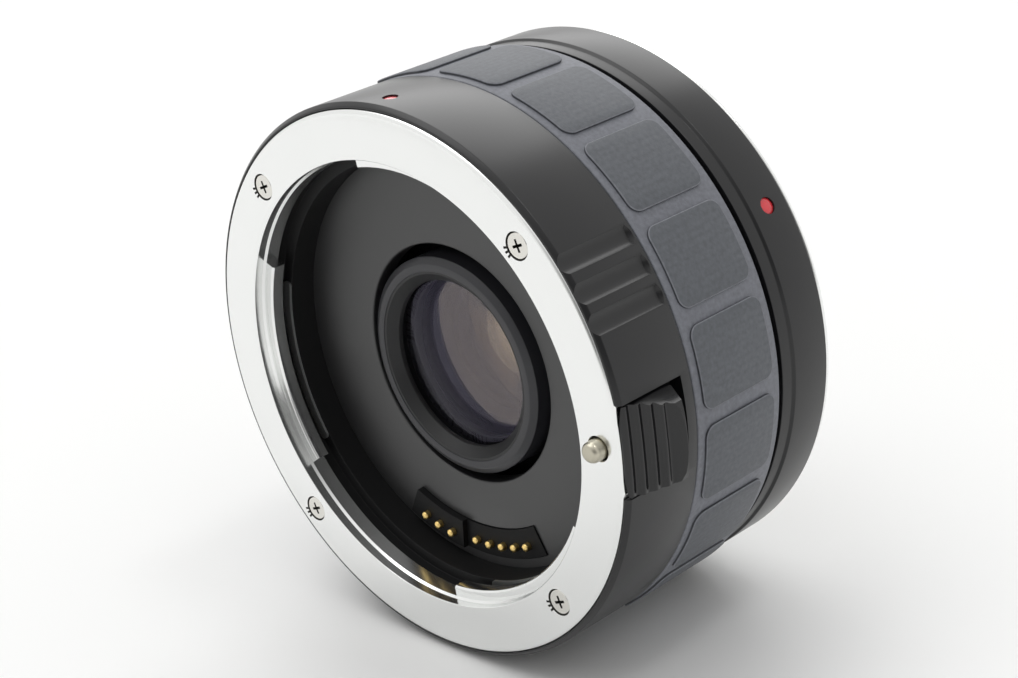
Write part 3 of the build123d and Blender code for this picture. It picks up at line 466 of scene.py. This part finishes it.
# Baffle: thin plate round the lens cell in flat black paint against stray light. Its hole is
# rolled back into a short collar, and its window lets the contact block through.
flat_black, flat_shader = new_material("flat_black_paint", "#0D0D0F", 0.5)
flat_shader.inputs["IOR"].default_value = 1.52
flat_shader.inputs["Specular IOR Level"].default_value = 1.0
grain(flat_shader, size=0.2, strength=0.4, depth=0.02)
baffle_shape = turned([
    (-26.4, 14.92), (-26.4, 25.45), (-25.8, 25.45), (-25.8, 15.2), (-24.2, 15.2), (-24.2, 14.62),
    (-26.1, 14.62), (-26.25, 14.66), (-26.36, 14.77),
])
baffle = show("stray_light_baffle", baffle_shape, "converter", "front_baffle", flat_black)
window_start, window_span, window_inside = -117.5, 55.5, 20.45
window = [(-27, window_inside), (-27, 24.35), (-25, 24.35), (-25, window_inside)]
carve(baffle, turned(window, start=window_start, span=window_span))

# Contact block: black moulding in the baffle's window, with a raised step for three pins.
contact_circle, contact_pitch = 22.7, 5.6
raised_pins, level_pins = 3, 5
pin_angles = [-110.9 + contact_pitch * step for step in range(raised_pins)]
pin_angles += [-90.7 + contact_pitch * step for step in range(level_pins)]
block_shape = turned(
    [(-27.3, 20.55), (-27.3, 24.25), (-21.4, 24.25), (-21.4, 19.9), (-25.75, 19.9), (-25.75, 20.55)],
    rounding=0.1, start=-117.4, span=55.3,
)
contact_block = show(
    "pin_contact_block", block_shape, "converter", "front_contact_block", black_moulding,
)
step_start, step_span, level_front = -95.4, 40.0, -26.6
step_cut = [(-28.5, 18.0), (-28.5, 26.0), (level_front, 26.0), (level_front, 18.0)]
carve(contact_block, turned(step_cut, start=step_start, span=step_span))
pin_bores = bmesh.new()
for angle in pin_angles:
    rod(pin_bores, on_face(angle, contact_circle, 0), radius=0.54, low=20.0, high=29.0, segments=24)
carve(contact_block, pin_bores)

# Contact pins: turned brass, gold plated, with domed tips and a collar inside the block.
gold_plate, gold_shader = new_material("gold_plated_brass", "#F4D48A", 0.34, metallic=1.0)
grain(gold_shader, size=0.2, strength=0.1, depth=0.01)
pin_radius, collar_radius, dome_height = 0.5, 0.8, 0.3
pin_back, collar_front, raised_tip, level_tip = 24.9, 25.4, 28.1, 27.4
for number, angle in enumerate(pin_angles, start=1):
    tip = raised_tip if number <= raised_pins else level_tip
    pin_outline = [
        (0, pin_back), (collar_radius, pin_back), (collar_radius, collar_front), (pin_radius, collar_front),
    ]
    for slope in range(0, 100, 10):
        rise = tip - dome_height + dome_height * sin(radians(slope))
        pin_outline.append((pin_radius * cos(radians(slope)), rise))
    pin_shape = bmesh.new()
    lathed(pin_shape, on_face(angle, contact_circle, 0), pin_outline, segments=24)
    show(
        f"gold_contact_{number}", pin_shape, f"contact_{number}", f"contact_pin_{number}",
        gold_plate,
    )

# Lens cell: turned aluminium tube, black anodised. Its bevelled rim stands out of the
# baffle's hole.
black_anodise, anodise_shader = new_material("black_anodised_aluminium", "#2C2C30", 0.4)
grain(anodise_shader, size=0.2, strength=0.15, depth=0.01)
cell_shape = turned(
    [
        (-27.35, 11.62), (-27.35, 12.5), (-26.85, 13.3), (-16.4, 13.3), (-16.4, 17.5), (-14.8, 17.5),
        (-14.8, 12.4), (1.55, 12.4), (1.55, 10.6), (-21.05, 10.6), (-21.05, 9.9), (-22.05, 9.9),
        (-22.05, 11.62),
    ],
    rounding=0.06,
)
show("lens_cell_tube", cell_shape, "converter", "lens_cell", black_anodise)

# Front retainer: ring with a coned mouth in dull black lacquer, screwed in over the glass.
dull_lacquer, lacquer_shader = new_material("dull_black_lacquer", "#131315", 0.5)
grain(lacquer_shader, size=0.2, strength=0.2, depth=0.01)
retainer_shape = turned([
    (-27.25, 11.31), (-27.27, 11.61), (-25.65, 11.61), (-25.65, 10.22), (-26.2, 10.22), (-26.26, 10.26),
])
show("coned_retainer", retainer_shape, "converter", "front_retainer", dull_lacquer)


# Glass: four polished elements with matt black edges. The coating of the outer two throws
# back only a faint violet, which a low index stands for here. The warm coating of the inner
# two gives the beige in the middle.
def coated_glass(name, base, index, coating):
    """Clear glass with this refractive index, whose coating tints what it throws back."""
    material, shader = new_material(name, base, 0.0)
    shader.inputs["Transmission Weight"].default_value = 1.0
    shader.inputs["IOR"].default_value = index
    shader.inputs["Specular Tint"].default_value = colour(coating)
    return material


def lens_outline(front, back, rim, clear, front_bulge, back_bulge, steps=12):
    """Outline of a lens from the axis round its rim and back, with two spherical faces."""
    def cap(place, bulge, side):
        radius = (clear * clear + bulge * bulge) / (2 * abs(bulge))
        towards = side if bulge > 0 else -side
        top = abs(bulge) - radius
        reach = [clear * step / steps for step in range(steps + 1)]
        return [(place + towards * (top + (radius * radius - r * r) ** 0.5), r) for r in reach]
    return cap(front, front_bulge, -1) + [(front, rim), (back, rim)] + cap(back, back_bulge, 1)[::-1]


edge_paint, edge_shader = new_material("matt_black_lens_paint", "#08080A", 0.85)
edge_shader.inputs["Specular IOR Level"].default_value = 0.2
grain(edge_shader, size=0.2, strength=0.2, depth=0.01)
violet_glass = coated_glass("violet_coated_glass", "#F4F4F6", index=1.26, coating="#B6A4FF")
warm_glass = coated_glass("warm_coated_glass", "#F0E6D6", index=1.8, coating="#FFEBD2")
paint_overlap = 0.05
for name, node, material, rim, clear, front, back, front_bulge, back_bulge in (
    ("front_glass", "lens_element_1", violet_glass, 11.55, 10.15, -25.65, -22.05, 1.0, -0.5),
    ("second_glass", "lens_element_2", warm_glass, 10.55, 9.15, -21.05, -17.25, -0.9, -1.2),
    ("third_glass", "lens_element_3", warm_glass, 10.55, 9.15, -15.85, -12.85, 1.3, 1.6),
    ("rear_glass", "lens_element_4", violet_glass, 10.55, 9.15, -4.4, -0.8, -0.8, 0.6),
):
    outline = lens_outline(front, back, rim, clear, front_bulge, back_bulge)
    glass_shape = bmesh.new()
    lathed(glass_shape, on_face(0, 0, 0), [(r, -y) for y, r in outline], segments=144)
    glass = show(name, glass_shape, "converter", node, material, sharp=20.0)
    glass.data.materials.append(edge_paint)
    for face in glass.data.polygons:
        if Vector((face.center.x, face.center.z)).length > (clear - paint_overlap) * MM:
            face.material_index = 1


# Barrel: aluminium shell in satin black enamel. Three flutes are milled beside the lever's
# slot, and a round recess holds the index dot.
def on_side(angle, radius, place):
    """Matrix that puts a shape made about its own Z on the side, with Z outward and X along +Y."""
    a = radians(angle)
    return Matrix((
        (0, -sin(a), cos(a), radius * cos(a) * MM),
        (1, 0, 0, place * MM),
        (0, cos(a), sin(a), radius * sin(a) * MM),
        (0, 0, 0, 1),
    ))


def soften(piece, width, angle):
    """Rounds the edges of a piece that are sharper than this angle, by this width in mm."""
    modifier = piece.modifiers.new("soften", "BEVEL")
    modifier.width = width * MM
    modifier.segments = 3
    modifier.limit_method = "ANGLE"
    modifier.angle_limit = radians(angle)
    modifier.use_clamp_overlap = True


black_enamel, enamel_shader = new_material("satin_black_enamel", "#121214", 0.3)
grain(enamel_shader, size=0.35, strength=0.12, depth=0.02)
barrel_radius = 33.35
grip_front, grip_seat, rear_front = -23.2, 32.35, -8.25
barrel_shape = turned(
    [
        (-34.1, 32.7), (-34.1, 32.9), (-33.6, barrel_radius), (grip_front, barrel_radius),
        (grip_front, grip_seat), (rear_front, grip_seat), (rear_front, 31.6), (-32.0, 31.6), (-32.0, 32.7),
    ],
    rounding=0.08, steps=360,
)
barrel = show("barrel_shell", barrel_shape, "converter", "front_barrel", black_enamel)
flute_radius, flute_depth = 1.69, 0.5
flute_outline = [
    (0, 23.45), (flute_radius - flute_depth, 23.45), (flute_radius, 23.85), (flute_radius, 36.0), (0, 36.0),
]
barrel_cuts = bmesh.new()
for angle in (36.35, 30.28, 24.4):
    flute = on_face(angle, barrel_radius - flute_depth + flute_radius, 0)
    lathed(barrel_cuts, flute, flute_outline, segments=64)
barrel_dot_place, barrel_dot_seat = -30.96, 32.95
rod(barrel_cuts, on_side(90, 0, barrel_dot_place), radius=0.9, low=barrel_dot_seat, high=35.0)
lever_slot = oblong(28.0, 39.0, half_width=5.35)
prism(barrel_cuts, on_face(0, 0, 0), lever_slot, low=24.6, high=36.0)
carve(barrel, barrel_cuts)
soften(barrel, width=0.14, angle=25.0)

# Index dots: drops of red enamel in round recesses, one on the barrel and one on the rear body.
red_enamel, red_shader = new_material("red_enamel", "#D8303A", 0.25)
red_shader.inputs["Coat Weight"].default_value = 0.6
grain(red_shader, size=0.4, strength=0.3, depth=0.04)
rear_dot_angle, rear_dot_place, rear_dot_seat = 30.3, -3.7, 32.9
for name, node, matrix, radius in (
    ("barrel_dot", "front_index_dot", on_side(90, barrel_dot_seat, barrel_dot_place), 0.89),
    ("rear_dot", "rear_index_dot", on_side(rear_dot_angle, rear_dot_seat, rear_dot_place), 0.99),
):
    drop = [(0, 0), (radius, 0), (radius, 0.14), (radius * 0.8, 0.22), (radius * 0.45, 0.26), (0, 0.27)]
    dot_shape = bmesh.new()
    lathed(dot_shape, matrix, drop)
    show(name, dot_shape, "converter", node, red_enamel)

# Release lever: black gloss moulding in the slot. Four soft scallops across its ramp give the
# thumb a grip. The ramp is crowned, and the sides draw in towards its crest.
gloss_black, gloss_shader = new_material("gloss_black_abs", "#0F0F11", 0.18)
grain(gloss_shader, size=0.8, strength=0.06, depth=0.02)
lever_half = 5.15
lever_side = [
    (32.75, -34.15), (33.15, -34.15), (36.0, -29.55), (36.6, -28.15), (33.35, -26.65),
    (31.7, -26.65), (31.7, -31.9), (32.75, -31.9),
]
lever_shape = bmesh.new()
prism(lever_shape, Matrix.Identity(4), lever_side, -lever_half, lever_half)
lever = show("thumb_lever", lever_shape, "release", "release_lever", gloss_black)
ramp_start = Vector((32.95, -34.15, 0))
ramp_end = Vector((35.8, -29.6, 0))
along = (ramp_end - ramp_start).normalized()
outward = Vector((along.y, -along.x, 0))
crown_radius = 33.0
scallop_pitch, scallop_depth, first_scallop = 1.31, 0.4, 0.6
crown = [(-2.0, crown_radius), (-0.2, crown_radius)]
for step in range(43):
    along_ramp = 0.13 * step
    depth = 0
    if along_ramp > first_scallop:
        depth = scallop_depth / 2 * (1 - cos(2 * pi * (along_ramp - first_scallop) / scallop_pitch))
    crown.append((along_ramp, crown_radius - depth))
crown += [(9.0, crown_radius), (9.0, crown_radius - 9.0), (-2.0, crown_radius - 9.0)]
crown_shape = turned(crown, start=-12, span=24, steps=1440)
crown_centre = (ramp_start - outward * crown_radius) * MM
crown_matrix = Matrix((
    (outward.x, along.x, 0, crown_centre.x),
    (outward.y, along.y, 0, crown_centre.y),
    (0, 0, 1, 0),
    (0, 0, 0, 1),
))
bmesh.ops.transform(crown_shape, matrix=crown_matrix, verts=crown_shape.verts)
carve(lever, crown_shape, "INTERSECT")
right_side = [(31.0, lever_half), (33.4, lever_half), (35.7, 4.45), (36.1, 3.6), (36.35, 2.4), (36.47, 1.2)]
left_side = [(x, -z) for x, z in reversed(right_side)]
drawn_in = bmesh.new()
prism(drawn_in, on_face(0, 0, 0), right_side + [(36.5, 0)] + left_side, low=24.0, high=36.0)
carve(lever, drawn_in, "INTERSECT")
soften(lever, width=0.16, angle=40.0)

# Rubber grip: one moulded sleeve, dusty dark grey, with rounded pads raised on a thin base.
# Handling has worn the pads darker than the base. Their rims are painted lighter, a painted
# highlight, and the foot of their walls is painted darkest, a painted shade.
grip_rubber, rubber_shader = new_material("moulded_grip_rubber", "#5E6066", 0.55)
rubber_tree = grip_rubber.node_tree
grain(rubber_shader, size=0.14, strength=0.6, depth=0.04, detail=6.0)
height_share = remap(distance_from_axis(rubber_tree), low=33.36 * MM, high=33.70 * MM)
tones_with_painted_light = add_node(rubber_tree, "ValToRGB", {"Fac": height_share})
ramp = tones_with_painted_light.color_ramp.elements
ramp[0].color = colour("#6E7077")
ramp[1].color = colour("#54575C")
# Tones by height: the dark steps low on the pad walls are painted shade, and the light step near the top is a
# painted highlight on the rims.
for share, tone in (
    (0.1, "#5A5C62"), (0.2, "#303236"), (0.55, "#3A3C40"), (0.82, "#7E8087"), (0.95, "#6A6C72"),
):
    ramp.new(share).color = colour(tone)
dust = remap(noise(rubber_tree, size=0.5, detail=8.0), low=0.25, high=0.75, start=0.82, end=1.18)
dust_and_painted_light = add_node(rubber_tree, "VectorMath", {0: tones_with_painted_light.outputs["Color"], "Scale": dust}, operation="SCALE")
rubber_tree.links.new(dust_and_painted_light.outputs[0], rubber_shader.inputs["Base Color"])
grip_radius = barrel_radius
grip_shape = turned(
    [
        (grip_front, grip_seat), (grip_front, 32.6), (-23.03, 32.7), (-23.03, 33.2), (-22.98, 33.3),
        (-22.85, grip_radius), (-9.45, grip_radius), (-9.32, 33.3), (-9.25, 33.15), (-9.25, grip_seat),
    ],
    steps=360,
)
pad_count, pad_pitch, first_pad = 18, 19.45, -127.75
pad_length, pad_width, pad_growth, pad_corner = 11.25, 9.3, 0.2, 1.4
pad_height, pad_sink, pad_rim = 0.45, 0.1, 0.16
strip_width = 0.85


def flat_pad():
    """One pad, lying flat and in mm, cut across into strips so that it can be bent."""
    pad = bmesh.new()
    bmesh.ops.create_grid(pad, x_segments=1, y_segments=1, size=0.5)
    bmesh.ops.scale(pad, vec=(pad_length + pad_growth, pad_width + pad_growth, 1), verts=pad.verts)
    rounded = {"offset_type": "OFFSET", "profile": 0.5, "clamp_overlap": True, "material": -1}
    bmesh.ops.bevel(pad, geom=pad.verts[:], offset=pad_corner, segments=8, affect="VERTICES", **rounded)
    raised = bmesh.ops.extrude_face_region(pad, geom=pad.faces[:])
    top_verts = [part for part in raised["geom"] if isinstance(part, bmesh.types.BMVert)]
    top_faces = [part for part in raised["geom"] if isinstance(part, bmesh.types.BMFace)]
    bmesh.ops.translate(pad, verts=top_verts, vec=(0, 0, pad_height))
    bmesh.ops.translate(pad, verts=pad.verts, vec=(0, 0, -pad_sink))
    rim = [edge for face in top_faces for edge in face.edges]
    bmesh.ops.bevel(pad, geom=rim, offset=pad_rim, segments=3, affect="EDGES", **rounded)
    for cut in range(-5, 6):
        bmesh.ops.bisect_plane(
            pad, geom=pad.verts[:] + pad.edges[:] + pad.faces[:],
            plane_co=(0, cut * strip_width, 0), plane_no=(0, 1, 0),
        )
    return pad


pad_middle = grip_front + 1.3 + pad_length / 2
for number in range(pad_count):
    middle_angle = radians(first_pad + pad_pitch * number)
    pad_shape = flat_pad()
    for vert in pad_shape.verts:
        angle = middle_angle + vert.co.y / grip_radius
        radius = grip_radius + vert.co.z
        vert.co = Vector((radius * cos(angle), pad_middle + vert.co.x, radius * sin(angle))) * MM
    join(grip_shape, pad_shape)
show("grip_sleeve", grip_shape, "converter", "rubber_grip", grip_rubber, sharp=50.0)

# Rear body: satin black enamel like the barrel, with a shallow step in front.
rear_shape = turned(
    [
        (rear_front, 27.5), (rear_front, 33.0), (-6.65, 33.0), (-6.35, 33.3), (-0.8, 33.3), (-0.45, 32.95),
        (-0.45, 31.55), (-1.9, 31.55), (-1.9, 27.5),
    ],
    rounding=0.08, steps=360,
)
rear_body = show("rear_body_shell", rear_shape, "converter", "rear_body", black_enamel)
dot_cut = bmesh.new()
rod(dot_cut, on_side(rear_dot_angle, 0, rear_dot_place), radius=1.0, low=rear_dot_seat, high=35.0)
carve(rear_body, dot_cut)


# Camera side ring: chromed brass like the lens ring, with a neck and three claws outside it.
def on_back(angle, radius, place):
    """Matrix that puts a shape made about its own Z on the camera side, with Z towards the camera."""
    a = radians(angle)
    return Matrix((
        (cos(a), sin(a), 0, radius * cos(a) * MM),
        (0, 0, 1, place * MM),
        (sin(a), -cos(a), 0, radius * sin(a) * MM),
        (0, 0, 0, 1),
    ))


neck_inside, neck_outside, neck_end = 23.6, 25.2, 5.6
camera_shape = turned(
    [
        (-1.9, neck_inside), (-1.9, 31.5), (-0.45, 31.5), (-0.45, 32.93), (-0.33, 33.05), (-0.12, 33.05),
        (0, 32.93), (0, neck_outside), (neck_end, neck_outside), (neck_end, neck_inside),
    ],
    rounding=0.05,
)
camera_ring = show(
    "camera_ring", camera_shape, "converter", "camera_mount_ring", satin_chrome,
)
camera_cuts = bmesh.new()
for angle in screw_angles:
    lathed(camera_cuts, on_back(angle, screw_circle, 0), countersink)
# The countersink walls take the dark steel, a painted shade.
carve(camera_ring, camera_cuts, cut_material=shadowed_steel)
lock_hole = bmesh.new()
rod(lock_hole, on_back(0, screw_circle, 0), radius=1.5, low=-3.0, high=1.0)
carve(camera_ring, lock_hole)
claw_outline = [(3.35, 24.4), (3.35, 26.5), (4.5, 26.5), (4.5, 24.4)]
add_claws(camera_ring, claw_outline, ((42.6, 53.8), (157.6, 55.2), (277.3, 54.0)), rounding=0.08)
add_screws(
    "camera_ring_screws", "camera_mount_screws", lambda angle: on_back(angle, screw_circle, 0),
    length=12.5, recess_turn=35,
)

# Rear baffle: moulded cup in the neck, painted like the front baffle and open round the rear
# glass and the contacts.
cup_shape = turned(
    [(0.6, 12.45), (0.6, 23.55), (5.4, 23.55), (5.4, 22.45), (1.6, 22.45), (1.6, 12.45)],
    rounding=0.08,
)
cup = show("rear_cup", cup_shape, "converter", "rear_baffle", flat_black)
cup_opening = [(-1, window_inside), (-1, 25.0), (7, 25.0), (7, window_inside)]
carve(cup, turned(cup_opening, start=window_start, span=window_span))

# Inner pieces that show little or not at all: the casting, painted black against stray
# light, and the boards, cable, slider, springs, rear contacts and the rings in the cell.
black_casting, cast_shader = new_material("black_painted_casting", "#0C0C0D", 0.8)
cast_shader.inputs["Specular IOR Level"].default_value = 0.2
grain(cast_shader, size=0.5, strength=0.4, depth=0.05)
board_green, board_shader = new_material("green_solder_mask", "#1E5A34", 0.35)
grain(board_shader, size=1.0, strength=0.1, depth=0.02)
amber_film, film_shader = new_material("amber_polyimide_film", "#B4752A", 0.3)
grain(film_shader, size=1.0, strength=0.1, depth=0.02)
contact_numbers = range(1, raised_pins + level_pins + 1)
finishes = {
    black_casting: ["inner_frame"],
    board_green: ["main_board", "front_contact_board"],
    amber_film: ["flex_cable"],
    black_moulding: ["lock_slider", "rear_contact_block"],
    nickel: ["lever_screws", "lens_cell_screws"],
    edge_paint: ["rear_retainer", "lens_spacer_1", "lens_spacer_2"],
    spring_steel: ["lock_spring"] + [f"contact_spring_{number}" for number in contact_numbers],
    gold_plate: [f"rear_contact_{number}" for number in contact_numbers],
}
for material, names in finishes.items():
    for name in names:
        give_finish(name, material)
